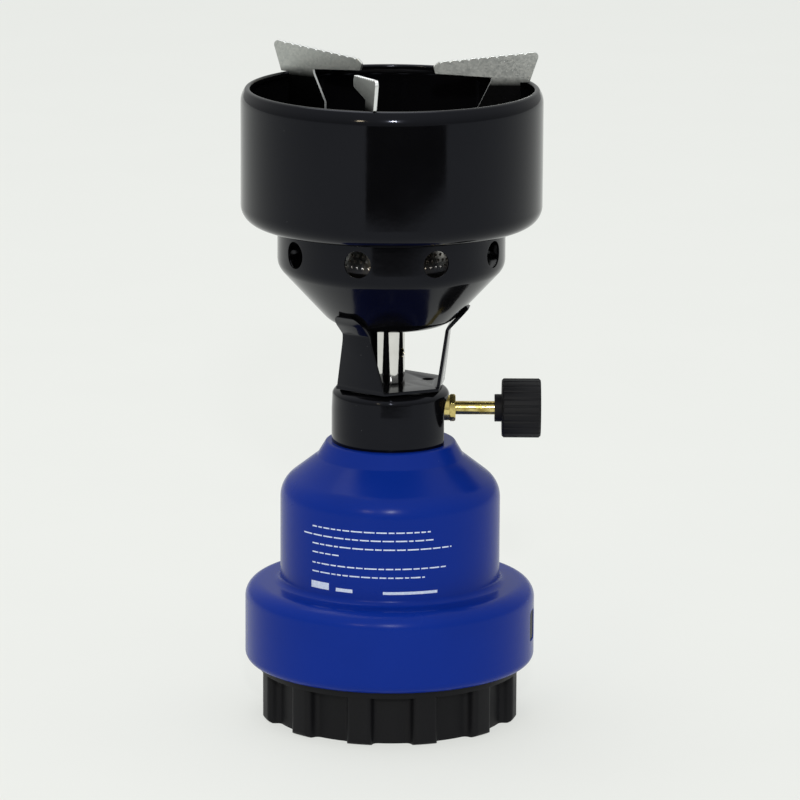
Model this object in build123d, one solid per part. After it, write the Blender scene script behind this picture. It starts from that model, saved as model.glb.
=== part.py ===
"""Camping stove for a pierceable gas cartridge, with a screw-in base cup, a side valve and a windshield.

Millimetres, +Z up. The origin is on the stove's axis, on the surface it stands on, and the knob is on +X.
A bearing is an angle about Z that starts at -Y, the front, and grows towards +X.
"""
from build123d import *
import math
import os

# Driving dimensions
CARTRIDGE_RADIUS = 45.0
CARTRIDGE_TOP = 96.0
BODY_RADIUS = 47.2
SKIRT_RADIUS = 62.3
SKIRT_LIP_RADIUS = 57.5
SKIRT_BOTTOM = 24.3
SKIRT_TOP = 59.3
SHELL_TOP = 121.0
SHOULDER_SLOPE = 0.78
SHOULDER_RADIUS = 31.4
SHOULDER_TOP = 114.6
NECK_RADIUS = 27.6
COVER_RADIUS = 25.3
COVER_TOP = 144.5
VALVE_Z = 135.2
PLATE_BOTTOM = 145.5
BOWL_BOTTOM = 172.0
BOWL_RADIUS = 48.6
DRUM_FLOOR = 216.0
DRUM_RADIUS = 64.2
RIM_TOP = 274.0

# Sheet gauges and fits
SHELL_SHEET = 0.8
COVER_SHEET = 1.0
BRACKET_SHEET = 1.3
BURNER_SHEET = 0.6
SUPPORT_SHEET = 1.5
RUNNING = 0.05

# Base cup
CUP_LOBES = 12
CUP_LOBE_RADIUS = 55.7
CUP_VALLEY_RADIUS = 50.6
CUP_LOBE_WIDTH = 10.8
CUP_LOBE_ROUND = 2.4
CUP_FOOT_ROUND = 3.6
CUP_LOBE_BEARING = 16.5
CUP_FLANGE_RADIUS = 56.4
CUP_LOBE_TOP = 21.2
CUP_FLANGE_TOP = 27.5
CUP_TOP = 46.0
CUP_FLOOR = 4.0
CUP_SLEEVE_RADIUS = 54.5
CUP_SLEEVE_BORE = 51.5
CUP_BORE = 46.0
THREAD_RING_BOTTOM = 30.6
THREAD_RING_TOP = 50.0

# Skirt windows that the thread ring's lugs lock into
WINDOW_WIDTH = 10.0
WINDOW_BOTTOM = 35.4
WINDOW_TOP = 48.6
WINDOW_BEARINGS = (80.5, 260.5)

# Valve line, along +X
BOSS_RADIUS = 5.5
BOSS_END = 25.2
NUT_END = 27.8
COLLAR_START = 44.5
KNOB_START = 47.6
KNOB_END = 64.3
KNOB_RADIUS = 12.7
COLLAR_RADIUS = 5.9
SPINDLE_RADIUS = 2.9
THREAD_RADIUS = 3.4
SPIGOT_RADIUS = 5.15
TUBE_RADIUS = 6.0
TUBE_TOP = 190.0
TUBE_HOLE_RADIUS = 1.85
TUBE_HOLE_Z = 160.0
TUBE_HOLE_BEARING = 52.0

# Bracket legs
LEG_BEARINGS = (-36.0, 84.0, 204.0)
PLATE_APOTHEM = 22.0
LEG_FOOT_WIDTH = 23.8
LEG_TOP_WIDTH = 14.0
TAB_FOOT_RADIUS = 25.35
TAB_TIP_RADIUS = 33.6

# Burner bowl
AIR_HOLES = 9
AIR_HOLE_RADIUS = 5.75
AIR_HOLE_Z = 206.5
AIR_HOLE_BEARING = 23.0
BOWL_MOUTH = 40.0
BOWL_FLOOR_RADIUS = 24.6
BOWL_CONE = 1.079
HEAD_RADIUS = 30.6

# Pot supports, each turned by its own angle about its pivot
PIVOT_CIRCLE = 44.5
PIVOT_BEARINGS = (-6.75, 113.25, 233.25)
SUPPORT_ANGLES = (-77.8, 1.0, 148.0)
PIVOT_RADIUS = 2.0
BLADE_OFFSET = -5.5
BLADE_OUTER = 22.0
BLADE_INNER = -23.6
BLADE_OUTER_RISE = 13.8
BLADE_INNER_RISE = 9.0
TOOTH_PITCH = 4.0
TOOTH_DEPTH = 0.5
FOOT_BOTTOM = 217.5
FOOT_HALF_WIDTH = 6.0

LOW = (Align.CENTER, Align.CENTER, Align.MIN)


def turned_by(bearing):
    """Rotation that carries +X to a bearing."""
    return Rot(0, 0, bearing - 90)


def disc(radius, low, high):
    return Pos(0, 0, low) * Cylinder(radius, high - low, align=LOW)


def ring(outer, inner, low, high):
    return disc(outer, low, high) - disc(inner, low - 1, high + 1)


def hexagon(across_flats, low, high, bore):
    """Nut blank about Z."""
    blank = Pos(0, 0, low) * extrude(RegularPolygon(across_flats / 2, 6, major_radius=False), high - low)
    corner = across_flats / math.sqrt(3)
    blank &= chamfer(disc(corner, low, high).edges(), 0.06 * across_flats)
    return blank - disc(bore, low - 1, high + 1)


def on_valve_line(shape):
    """Carries a shape modelled about Z to the valve line, Z to X."""
    return Pos(0, 0, VALVE_Z) * Rot(0, 90, 0) * shape


def rod(start, end, radius):
    axis = Vector(end) - Vector(start)
    return Plane(origin=start, z_dir=axis) * Cylinder(radius, axis.length, align=LOW)


def band(points, radii, thickness):
    """Flat outline of a bent sheet whose outer side follows the points; the metal is on the left."""
    path = Wire(FilletPolyline(*points, radius=radii).edges())
    return Face(path.offset_2d(thickness, side=Side.LEFT))


def pressed(points, radii, thickness):
    """Round pressing in sheet, from (radius, z) points."""
    return revolve(Plane.XZ * band(points, radii, thickness), Axis.Z)


def turned(points):
    """Solid of revolution about Z from (radius, z) points."""
    return revolve(Plane.XZ * make_face(Polyline(*points, close=True)), Axis.Z)


def window_block(bearing, inner, outer, clearance):
    width = WINDOW_WIDTH - 2 * clearance
    height = WINDOW_TOP - WINDOW_BOTTOM - 2 * clearance
    middle = (WINDOW_BOTTOM + WINDOW_TOP) / 2
    block = Box(outer - inner, width, height)
    block = fillet(block.edges().filter_by(Axis.X), 2)
    return turned_by(bearing) * Pos((inner + outer) / 2, 0, middle) * block


def body_shell():
    """Painted steel pressing: skirt, step, cylinder, sloping shoulder and flat-topped, tapering neck."""
    shoulder = SHOULDER_TOP - SHOULDER_SLOPE * (BODY_RADIUS - SHOULDER_RADIUS)
    outline = [
        (SKIRT_LIP_RADIUS, SKIRT_BOTTOM),
        (SKIRT_RADIUS, SKIRT_BOTTOM),
        (SKIRT_RADIUS, SKIRT_TOP),
        (BODY_RADIUS, SKIRT_TOP),
        (BODY_RADIUS, shoulder),
        (SHOULDER_RADIUS, SHOULDER_TOP),
        (NECK_RADIUS, SHELL_TOP),
        (8.0, SHELL_TOP),
    ]
    shell = pressed(outline, [4.2, 7.0, 3.0, 12.0, 3.0, 1.6], SHELL_SHEET)
    for bearing in WINDOW_BEARINGS:
        shell -= window_block(bearing, 55.0, 65.0, 0)
    return shell


def thread_ring():
    """Nut ring in the skirt; its two lugs lock into the skirt's windows."""
    skirt_bore = SKIRT_RADIUS - SHELL_SHEET
    nut = ring(skirt_bore - 0.1, CUP_SLEEVE_RADIUS + RUNNING, THREAD_RING_BOTTOM, THREAD_RING_TOP)
    for bearing in WINDOW_BEARINGS:
        nut += window_block(bearing, 58.0, SKIRT_RADIUS - 0.5, 0.15)
    return nut


def base_cup():
    """Moulded screw cup with a castellated grip; it lifts the cartridge as it is screwed in."""
    grip = Circle(CUP_VALLEY_RADIUS)
    for k in range(CUP_LOBES):
        lobe = Pos(CUP_LOBE_RADIUS - 5, 0) * Rectangle(10, CUP_LOBE_WIDTH)
        grip += Rot(0, 0, CUP_LOBE_BEARING - 90 + 360 / CUP_LOBES * k) * lobe
    grip = fillet(grip.vertices(), CUP_LOBE_ROUND)
    body = extrude(grip, CUP_LOBE_TOP)
    foot = disc(CUP_LOBE_RADIUS + 1.0, 0, CUP_LOBE_TOP + 1)
    body &= fillet(foot.edges().group_by(Axis.Z)[0], CUP_FOOT_ROUND)
    body += disc(CUP_FLANGE_RADIUS, CUP_LOBE_TOP, CUP_FLANGE_TOP)
    body += disc(CUP_SLEEVE_RADIUS, CUP_FLANGE_TOP, CUP_TOP)
    body -= disc(CUP_BORE, CUP_FLOOR, CUP_TOP + 1)
    body -= disc(CUP_SLEEVE_BORE, CUP_FLANGE_TOP + 3, CUP_TOP + 1)
    return body


def gas_cartridge():
    """Thin steel can with a raised centre, pierced by the needle."""
    outline = [
        (0, CUP_FLOOR),
        (CARTRIDGE_RADIUS, CUP_FLOOR),
        (CARTRIDGE_RADIUS, CARTRIDGE_TOP - 9),
        (15.0, CARTRIDGE_TOP - 5),
        (13.0, CARTRIDGE_TOP),
        (1.25 + RUNNING, CARTRIDGE_TOP),
    ]
    return pressed(outline, [3.0, 10.0, 3.0, 1.2], 0.5)


def cartridge_seal():
    return ring(6.5, 1.45, CARTRIDGE_TOP, CARTRIDGE_TOP + 3)


def piercing_needle():
    """Hollow steel needle with a flange, pressed up into the valve body."""
    low = CARTRIDGE_TOP + 3
    needle = disc(1.25, low - 9, low) + disc(2.5, low, low + 2)
    tip = Pos(0, 0, low - 9.6) * Rot(0, 35, 0) * Box(8, 8, 2)
    return needle - tip - disc(0.5, low - 12, low + 3)


def gas_filter():
    return disc(2.5, CARTRIDGE_TOP + 5, CARTRIDGE_TOP + 8)


def valve_body():
    """Brass body: inlet spigot, flange, column, side boss for the spindle and outlet spigot."""
    shoulder = COVER_TOP - COVER_SHEET
    body = disc(8.0, CARTRIDGE_TOP + 3, SHELL_TOP) + disc(14.0, SHELL_TOP, SHELL_TOP + 3)
    body += disc(9.0, SHELL_TOP + 3, shoulder) + disc(SPIGOT_RADIUS, shoulder, PLATE_BOTTOM + 7.5)
    body += on_valve_line(disc(BOSS_RADIUS, 0, BOSS_END))
    body -= disc(2.5, CARTRIDGE_TOP + 2, CARTRIDGE_TOP + 8)
    body -= disc(1.0, CARTRIDGE_TOP + 7, 125.0)
    body -= rod((0, 0, 124.5), (8, 0, VALVE_Z - 2), 0.9)
    body -= on_valve_line(disc(0.9, -0.5, 6))
    body -= disc(0.9, VALVE_Z, PLATE_BOTTOM + 8)
    body -= disc(2.5, PLATE_BOTTOM + 2.5, PLATE_BOTTOM + 8)
    body -= on_valve_line(disc(THREAD_RADIUS + RUNNING, 5, 21.4))
    body -= on_valve_line(disc(4.3, 21.4, BOSS_END + 1))
    return body


def valve_washer():
    return ring(13.0, 8.0, SHELL_TOP - SHELL_SHEET - 1, SHELL_TOP - SHELL_SHEET)


def valve_clamp_nut():
    high = SHELL_TOP - SHELL_SHEET - 1
    return hexagon(24.0, high - 6, high, 8.0)


def packing_nut():
    """Gland nut on the end of the side boss."""
    head = hexagon(10.4, BOSS_END, NUT_END, SPINDLE_RADIUS + RUNNING)
    thread = ring(4.3, SPINDLE_RADIUS + RUNNING, 21.4, BOSS_END)
    return on_valve_line(head + thread)


def spindle_packing():
    return on_valve_line(ring(THREAD_RADIUS + RUNNING, SPINDLE_RADIUS + RUNNING, 20.2, 21.4))


def spindle_o_ring():
    return on_valve_line(Pos(0, 0, 17.8) * Torus(2.85, 0.5))


def valve_spindle():
    """Brass spindle: cone tip on the seat, short thread, seal groove, shank and tapped end."""
    outline = [
        (0, 4.5),
        (0.4, 4.5),
        (0.85, 5.0),
        (2.6, 7.0),
        (2.6, 9.0),
        (THREAD_RADIUS, 9.6),
        (THREAD_RADIUS, 16.6),
        (SPINDLE_RADIUS, 17.05),
        (2.2, 17.05),
        (2.2, 18.55),
        (SPINDLE_RADIUS, 18.55),
        (SPINDLE_RADIUS, 58.0),
        (1.25, 58.0),
        (1.25, 50.0),
        (0, 50.0),
    ]
    return on_valve_line(turned(outline))


def control_knob():
    """Moulded knob with a collar, fine axial grooves and a screw recess in its end."""
    head = chamfer(disc(KNOB_RADIUS, KNOB_START, KNOB_END).edges(), 0.8)
    grooves = 24
    groove = Pos(KNOB_RADIUS + 0.25, 0, 0) * disc(0.6, KNOB_START - 1, KNOB_END + 1)
    for k in range(grooves):
        head -= Rot(0, 0, 360 / grooves * k) * groove
    knob = head + disc(COLLAR_RADIUS, COLLAR_START, KNOB_START)
    knob -= disc(4.0, COLLAR_START - 1, 58.0)
    knob -= disc(1.6, 57.0, KNOB_END)
    knob -= disc(3.7, 60.5, KNOB_END + 1)
    return on_valve_line(knob)


def knob_insert():
    return on_valve_line(ring(4.0, SPINDLE_RADIUS, COLLAR_START, 58.0))


def knob_screw():
    slot = Pos(0, 0, 62.8) * Box(8, 0.8, 1.6)
    return on_valve_line(disc(1.25, 51.0, 60.5) + disc(3.2, 60.5, 62.8) - slot)


def valve_cover():
    """Round pressed cap over the valve, with a notch that the side boss comes out of."""
    outline = [(COVER_RADIUS, SHELL_TOP), (COVER_RADIUS, COVER_TOP), (SPIGOT_RADIUS, COVER_TOP)]
    cover = pressed(outline, [4.0], COVER_SHEET)
    notch = Pos(24.0, 0, 131.0) * Box(20, 21.6, 21.2)
    notch = fillet(notch.edges().filter_by(Axis.X).group_by(Axis.Z)[-1], 6.5)
    return cover - notch


def plate_spacer():
    return ring(9.0, SPIGOT_RADIUS, COVER_TOP, PLATE_BOTTOM)


def burner_bracket():
    """Black sheet bracket: hexagonal plate with three legs whose tabs carry the bowl."""
    plate = extrude(RegularPolygon(PLATE_APOTHEM, 6, major_radius=False), BRACKET_SHEET)
    plate = Pos(0, 0, PLATE_BOTTOM) * turned_by(LEG_BEARINGS[0]) * Rot(0, 0, 30) * plate
    cone_drop = BRACKET_SHEET * math.hypot(1, BOWL_CONE)
    cone_start = BOWL_BOTTOM - cone_drop - BOWL_CONE * BOWL_FLOOR_RADIUS
    tab_foot = (TAB_FOOT_RADIUS, cone_start + BOWL_CONE * TAB_FOOT_RADIUS)
    tab_tip = (TAB_TIP_RADIUS, cone_start + BOWL_CONE * TAB_TIP_RADIUS)
    outline = [(14, PLATE_BOTTOM), (PLATE_APOTHEM, PLATE_BOTTOM), tab_foot, tab_tip]
    section = band(outline, [2.4, 2.0], BRACKET_SHEET)
    foot, top = LEG_FOOT_WIDTH / 2, LEG_TOP_WIDTH / 2
    side = [
        (-foot, PLATE_BOTTOM - 1),
        (foot, PLATE_BOTTOM - 1),
        (foot, PLATE_BOTTOM + 2.5),
        (top, tab_foot[1] - 2),
        (top, tab_tip[1] + 1.0),
        (-top, tab_tip[1] + 1.0),
        (-top, tab_foot[1] - 2),
        (-foot, PLATE_BOTTOM + 2.5),
    ]
    mask = make_face(FilletPolyline(*side, radius=[0, 0, 4, 20, 6, 6, 20, 4], close=True))
    front = extrude(Plane.YZ * mask, 40)
    leg = extrude(Plane.XZ * section, foot, both=True) & front
    bracket = plate
    for bearing in LEG_BEARINGS:
        bracket += turned_by(bearing) * leg
    bracket -= disc(SPIGOT_RADIUS, PLATE_BOTTOM - 1, PLATE_BOTTOM + 3)
    bracket -= Pos(16.0, 4.0, 0) * disc(2.5, PLATE_BOTTOM - 1, PLATE_BOTTOM + 3)
    return bracket


def gas_jet():
    """Brass jet screwed into the outlet spigot."""
    seat = PLATE_BOTTOM + 2.5
    jet = disc(2.5, seat, seat + 5) + hexagon(7.0, seat + 5, seat + 8, 0.3)
    jet += Pos(0, 0, seat + 8) * Cone(2.4, 1.2, 2.5, align=LOW)
    return jet - disc(0.3, seat - 1, seat + 12)


def mixing_tube():
    """Plated tube, screwed down on the outlet spigot, with two cross-drilled air holes."""
    tube = ring(TUBE_RADIUS, SPIGOT_RADIUS, PLATE_BOTTOM + BRACKET_SHEET, TUBE_TOP)
    drill = Rot(0, 90, 0) * Cylinder(TUBE_HOLE_RADIUS, 30)
    return tube - Pos(0, 0, TUBE_HOLE_Z) * turned_by(TUBE_HOLE_BEARING) * drill


def burner_bowl():
    """Round bowl with air holes under its mouth; its in-turned flange carries the windshield."""
    corner = BOWL_BOTTOM + BOWL_CONE * (BOWL_RADIUS - BOWL_FLOOR_RADIUS)
    outline = [
        (TUBE_RADIUS, BOWL_BOTTOM),
        (BOWL_FLOOR_RADIUS, BOWL_BOTTOM),
        (BOWL_RADIUS, corner),
        (BOWL_RADIUS, DRUM_FLOOR),
        (BOWL_MOUTH, DRUM_FLOOR),
    ]
    bowl = pressed(outline, [15.0, 8.0, 1.2], SHELL_SHEET)
    for k in range(AIR_HOLES):
        hole = Pos(0, 0, AIR_HOLE_Z) * Rot(0, 90, 0) * disc(AIR_HOLE_RADIUS, 40, 60)
        bowl -= turned_by(AIR_HOLE_BEARING + 360 / AIR_HOLES * k) * hole
    for bearing in PIVOT_BEARINGS:
        bowl -= pivot_hole(bearing)
    return bowl


def burner_nut():
    low = BOWL_BOTTOM + SHELL_SHEET
    return hexagon(18.0, low, low + 4.5, TUBE_RADIUS)


def burner_pan():
    """Pressed dish on the end of the mixing tube, under the perforated head."""
    rim = HEAD_RADIUS - BURNER_SHEET
    outline = [(TUBE_RADIUS, TUBE_TOP - 4), (13.0, TUBE_TOP - 4), (rim, 198.0), (rim, 202.0)]
    return pressed(outline, [2.0, 2.5], BURNER_SHEET)


def burner_head():
    """Perforated steel cap that spreads the flame; the finest holes are drawn larger and fewer here."""
    outline = [(HEAD_RADIUS, 199.0), (HEAD_RADIUS, 212.0), (22.0, 214.4), (0, 214.4)]
    head = pressed(outline, [2.5, 6.0], BURNER_SHEET)
    ports = 18
    for k in range(ports):
        turn = 180 / ports * k
        head -= Pos(0, 0, 208.0) * Rot(0, 90, turn) * Cylinder(1.4, 80)
    for count, radius in ((6, 7.0), (12, 14.0)):
        for k in range(count):
            head -= Rot(0, 0, 360 / count * k) * Pos(radius, 0, 0) * disc(1.4, 211, 217)
    return head


def windshield():
    """Deep round pan with a curled-in rim; its floor is open over the bowl."""
    lip = 60.2
    outline = [
        (BOWL_MOUTH, DRUM_FLOOR),
        (DRUM_RADIUS, DRUM_FLOOR),
        (DRUM_RADIUS, RIM_TOP - 3.8),
        (DRUM_RADIUS - 2.0, RIM_TOP),
        (lip, RIM_TOP),
        (lip, RIM_TOP - 2.2),
    ]
    drum = pressed(outline, [8.0, 9.0, 1.6, 0.9], 0.7)
    for bearing in PIVOT_BEARINGS:
        drum -= pivot_hole(bearing)
    return drum


def pivot_hole(bearing):
    return turned_by(bearing) * Pos(PIVOT_CIRCLE, 0, 0) * disc(PIVOT_RADIUS, DRUM_FLOOR - 3, DRUM_FLOOR + 3)


def at_pivots(shape):
    """The same piece on each of the three pivots, as separate solids."""
    return Compound(children=[turned_by(b) * Pos(PIVOT_CIRCLE, 0, 0) * shape for b in PIVOT_BEARINGS])


def pivot_washers():
    return at_pivots(ring(4.5, PIVOT_RADIUS, DRUM_FLOOR + 0.7, DRUM_FLOOR + 1.2))


def pivot_rivets():
    """Shouldered rivets that hold the drum on the bowl and carry the pot supports."""
    flange_bottom = DRUM_FLOOR - SHELL_SHEET
    head = FOOT_BOTTOM + SUPPORT_SHEET + 0.3
    rivet = disc(2.8, flange_bottom - 1.4, flange_bottom) + disc(PIVOT_RADIUS, flange_bottom, head)
    return at_pivots(rivet + fillet(disc(4.0, head, head + 1.6).edges().group_by(Axis.Z)[-1], 1.2))


def blade_outline():
    """Outline of a blade in (along, z, corner radius): serrated wing, notch over the rim and a leg."""
    outer_top, inner_top = RIM_TOP + BLADE_OUTER_RISE, RIM_TOP + BLADE_INNER_RISE
    start, end = BLADE_OUTER - 3.6, BLADE_INNER + 2.4
    fall = (outer_top - inner_top) / (BLADE_OUTER - BLADE_INNER)
    teeth = round((start - end) / TOOTH_PITCH)
    pitch = (start - end) / teeth
    points = [(BLADE_OUTER - 4.6, RIM_TOP + 0.4, 0), (BLADE_OUTER, outer_top, 2.0)]
    for k in range(teeth):
        along = start - pitch * k
        crest = outer_top - fall * (BLADE_OUTER - along)
        points.append((along - pitch * 0.55, crest - fall * pitch * 0.55, 0))
        points.append((along - pitch * 0.8, crest - fall * pitch - TOOTH_DEPTH, 0))
        points.append((along - pitch, crest - fall * pitch, 0))
    points += [
        (BLADE_INNER, inner_top - 1.8, 1.0),
        (BLADE_INNER + 0.8, RIM_TOP + 4.0, 0.6),
        (1.2, RIM_TOP + 2.4, 0),
        (0.8, RIM_TOP + 0.6, 0),
        (-5.0, RIM_TOP - 11.2, 0),
        (-5.0, FOOT_BOTTOM, 0),
        (5.0, FOOT_BOTTOM, 0),
        (5.0, FOOT_BOTTOM + 12, 0),
        (13.5, FOOT_BOTTOM + 30, 0),
        (13.5, RIM_TOP + 0.4, 0),
    ]
    return points


def pot_support(index):
    """Galvanised blade with a foot bent under it, free to swivel on its rivet."""
    outline = blade_outline()
    corners = [(along, z) for along, z, radius in outline]
    face = make_face(FilletPolyline(*corners, radius=[radius for along, z, radius in outline], close=True))
    near, far = BLADE_OFFSET - SUPPORT_SHEET / 2, BLADE_OFFSET + SUPPORT_SHEET / 2
    blade = Pos(0, far, 0) * extrude(Plane.XZ * face, SUPPORT_SHEET)
    foot = Box(10, FOOT_HALF_WIDTH - near, SUPPORT_SHEET, align=LOW)
    foot = Pos(0, (near + FOOT_HALF_WIDTH) / 2, FOOT_BOTTOM) * foot
    foot = fillet(foot.edges().filter_by(Axis.Z).group_by(Axis.Y)[-1], 4.0)
    support = blade + foot - disc(PIVOT_RADIUS + 0.06, FOOT_BOTTOM - 1, FOOT_BOTTOM + 4)
    bearing = math.radians(PIVOT_BEARINGS[index])
    pivot = Pos(PIVOT_CIRCLE * math.sin(bearing), -PIVOT_CIRCLE * math.cos(bearing), 0)
    return pivot * Rot(0, 0, SUPPORT_ANGLES[index]) * support


def main():
    os.makedirs("parts", exist_ok=True)
    makers = [
        body_shell, thread_ring, base_cup, gas_cartridge, cartridge_seal, piercing_needle, gas_filter,
        valve_body, valve_washer, valve_clamp_nut, packing_nut, spindle_packing, spindle_o_ring,
        valve_spindle, control_knob, knob_insert, knob_screw, valve_cover, plate_spacer, burner_bracket,
        gas_jet, mixing_tube, burner_bowl, burner_nut, burner_pan, burner_head, windshield,
        pivot_washers, pivot_rivets,
    ]
    for maker in makers:
        export_step(maker(), f"parts/{maker.__name__}.step")
    for index in range(len(PIVOT_BEARINGS)):
        export_step(pot_support(index), f"parts/pot_support_{index + 1}.step")


main()
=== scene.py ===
import math
import random

import bmesh
import bpy
from mathutils import Matrix, Vector


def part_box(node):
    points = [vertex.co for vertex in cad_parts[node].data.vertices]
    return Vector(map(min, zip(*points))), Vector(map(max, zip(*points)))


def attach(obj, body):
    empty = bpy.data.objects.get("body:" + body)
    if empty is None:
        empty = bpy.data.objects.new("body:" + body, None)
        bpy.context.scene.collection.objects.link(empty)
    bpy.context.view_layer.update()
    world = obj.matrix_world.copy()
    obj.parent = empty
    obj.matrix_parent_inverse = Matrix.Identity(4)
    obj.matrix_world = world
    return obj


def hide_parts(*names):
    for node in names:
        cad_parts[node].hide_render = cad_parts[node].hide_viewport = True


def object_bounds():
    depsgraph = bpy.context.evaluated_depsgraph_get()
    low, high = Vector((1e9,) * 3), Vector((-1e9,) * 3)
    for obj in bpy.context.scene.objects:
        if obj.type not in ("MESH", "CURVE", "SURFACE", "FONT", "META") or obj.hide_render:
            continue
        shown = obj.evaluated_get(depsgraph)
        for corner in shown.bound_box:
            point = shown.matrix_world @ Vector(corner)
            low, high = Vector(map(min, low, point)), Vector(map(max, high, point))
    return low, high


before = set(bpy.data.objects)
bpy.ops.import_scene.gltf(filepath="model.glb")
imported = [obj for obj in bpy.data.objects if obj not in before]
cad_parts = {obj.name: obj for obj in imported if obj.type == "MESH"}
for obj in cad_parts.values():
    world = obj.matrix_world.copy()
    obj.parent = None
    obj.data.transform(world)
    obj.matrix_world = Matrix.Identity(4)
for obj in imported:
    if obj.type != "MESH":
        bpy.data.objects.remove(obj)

cad_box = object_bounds()

# ---- The place it stands in ----------------------------------------------------------------
# A pale floor that glows a little of itself, as painted fill light that keeps its shadows faint, under a
# white tent, with one soft lamp over the camera and a smaller warm one to its left. A black card lies on the
# floor in front, out of sight, and gloss black mirrors it.


def hex_colour(code):
    """Linear colour of an sRGB hex value."""
    parts = [int(code[k:k + 2], 16) / 255 for k in (1, 3, 5)]
    return [c / 12.92 if c <= 0.04045 else ((c + 0.055) / 1.055) ** 2.4 for c in parts] + [1.0]


def add_node(tree, kind, feeds=None, **settings):
    """One node with its settings; each feed is a value or the socket that drives that input."""
    made = tree.nodes.new(kind)
    for name, value in settings.items():
        setattr(made, name, value)
    for socket, value in (feeds or {}).items():
        if isinstance(value, bpy.types.NodeSocket):
            tree.links.new(value, made.inputs[socket])
        else:
            made.inputs[socket].default_value = value
    return made


def start_finish(name):
    """Empty material, its node tree and the socket that gives the spot on the piece."""
    finish = bpy.data.materials.new(name)
    finish.use_nodes = True
    finish.node_tree.nodes.clear()
    spot = add_node(finish.node_tree, "ShaderNodeTexCoord").outputs["Object"]
    return finish, finish.node_tree, spot


def per(size):
    """Texture scale whose features are about `size` millimetres across."""
    return 1000.0 / size


def blend_colours(tree, low, high, amount):
    """Colour between two hex values, by a socket that runs from 0 to 1."""
    mix = add_node(tree, "ShaderNodeMix", data_type="RGBA")
    mix.inputs[6].default_value = hex_colour(low)
    mix.inputs[7].default_value = hex_colour(high)
    tree.links.new(amount, mix.inputs[0])
    return mix.outputs[2]


def new_piece(name, points, faces):
    """Piece from points in millimetres."""
    mesh = bpy.data.meshes.new(name)
    mesh.from_pydata([[c / 1000 for c in p] for p in points], [], faces)
    piece = bpy.data.objects.new(name, mesh)
    bpy.context.scene.collection.objects.link(piece)
    return piece


# Matt opal floor with a dark base and a glow of its own: the glow is painted fill light that gives an even
# near-white and keeps shadows faint, with a slight mottle.
opal, tree, spot = start_finish("pale_floor_with_painted_fill_glow")
mottle = add_node(tree, "ShaderNodeTexNoise", {"Vector": spot, "Scale": per(90), "Detail": 3.0})
shade = add_node(tree, "ShaderNodeBsdfPrincipled", {
    "Base Color": blend_colours(tree, "#7B7C7A", "#7F807E", mottle.outputs[0]),
    "Roughness": 0.85,
    "Specular IOR Level": 0.2,
    # Painted fill light: this glow lifts the floor's shadows.
    "Emission Color": hex_colour("#FDFFFB"),
    "Emission Strength": 0.6,
})
add_node(tree, "ShaderNodeOutputMaterial", {"Surface": shade.outputs[0]})

floor_reach = 9000
floor_corners = [(x * floor_reach, y * floor_reach, 0) for x, y in ((-1, -1), (1, -1), (1, 1), (-1, 1))]
floor = new_piece("opal_floor", floor_corners, [(0, 1, 2, 3)])
floor.data.materials.append(opal)

card_paint, tree, _ = start_finish("black_card")
shade = add_node(tree, "ShaderNodeBsdfDiffuse", {"Color": hex_colour("#1C1C1C")})
add_node(tree, "ShaderNodeOutputMaterial", {"Surface": shade.outputs[0]})
card_corners = [(-336, -985, 2), (-1700, -5000, 2), (4350, -5000, 2), (857, -985, 2)]
card = new_piece("black_card", card_corners, [(0, 1, 2, 3)])
card.data.materials.append(card_paint)
card.visible_camera = False

tent = bpy.data.worlds.new("white_tent")
bpy.context.scene.world = tent
tent.use_nodes = True
tree = tent.node_tree
tree.nodes.clear()
place = add_node(tree, "ShaderNodeTexCoord")
way = add_node(tree, "ShaderNodeSeparateXYZ", {"Vector": place.outputs["Generated"]})
rise = add_node(tree, "ShaderNodeMapRange", {
    "Value": way.outputs["Z"], "From Min": 0.0, "From Max": 0.9, "To Min": 0.42, "To Max": 0.98})
seen = add_node(tree, "ShaderNodeLightPath")
level = add_node(tree, "ShaderNodeMix", {
    "Factor": seen.outputs["Is Camera Ray"], "A": rise.outputs[0], "B": 0.77}, data_type="FLOAT")
sky = add_node(tree, "ShaderNodeBackground", {"Color": hex_colour("#FBFDFB"), "Strength": level.outputs[0]})
add_node(tree, "ShaderNodeOutputWorld", {"Surface": sky.outputs[0]})


def soft_lamp(name, place, aim, size, power, colour):
    """Square soft lamp at `place` that faces `aim`, both in metres."""
    lamp = bpy.data.lights.new(name, "AREA")
    lamp.size = size
    lamp.energy = power
    lamp.color = hex_colour(colour)[:3]
    holder = bpy.data.objects.new(name, lamp)
    holder.location = place
    holder.rotation_euler = (Vector(aim) - Vector(place)).to_track_quat("-Z", "Y").to_euler()
    bpy.context.scene.collection.objects.link(holder)


middle = (cad_box[0] + cad_box[1]) / 2
soft_lamp("top_lamp", (-0.3, 0.5, 2.4), middle, 1.6, 20.0, "#FFFFFF")
soft_lamp("front_lamp", (0.05, -2.6, 1.25), middle, 0.12, 22.0, "#FFFFFF")
soft_lamp("warm_lamp", (-0.95, -2.1, 1.05), middle, 0.2, 5.0, "#FFE9B8")

# The camera stands 2.4 m off, a little above the stove, with a long lens.
camera_place = Vector((0.004, -2.39, 0.673))
camera_aim = Vector((0.004, 0.0, 0.1384))
camera = bpy.data.objects.new("camera", bpy.data.cameras.new("camera"))
camera.data.lens = 257.2
camera.data.sensor_width = 36
camera.location = camera_place
roll = Matrix.Rotation(math.radians(0.3), 3, "Z")
turn = (camera_aim - camera_place).to_track_quat("-Z", "Y").to_matrix() @ roll
camera.rotation_euler = turn.to_euler()
bpy.context.scene.collection.objects.link(camera)
bpy.context.scene.camera = camera
bpy.context.scene.view_settings.view_transform = "Standard"

# ---- Base cup ------------------------------------------------------------------------------
# The screw-in bottom: black polypropylene, injection moulded, with twelve square lobes to grip
# and a flange that the shell's skirt comes down on. The cartridge stands inside it.


def span(node):
    """Lowest and highest corner of a CAD node at rest, in millimetres."""
    low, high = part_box(node)
    return low * 1000, high * 1000


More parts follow.
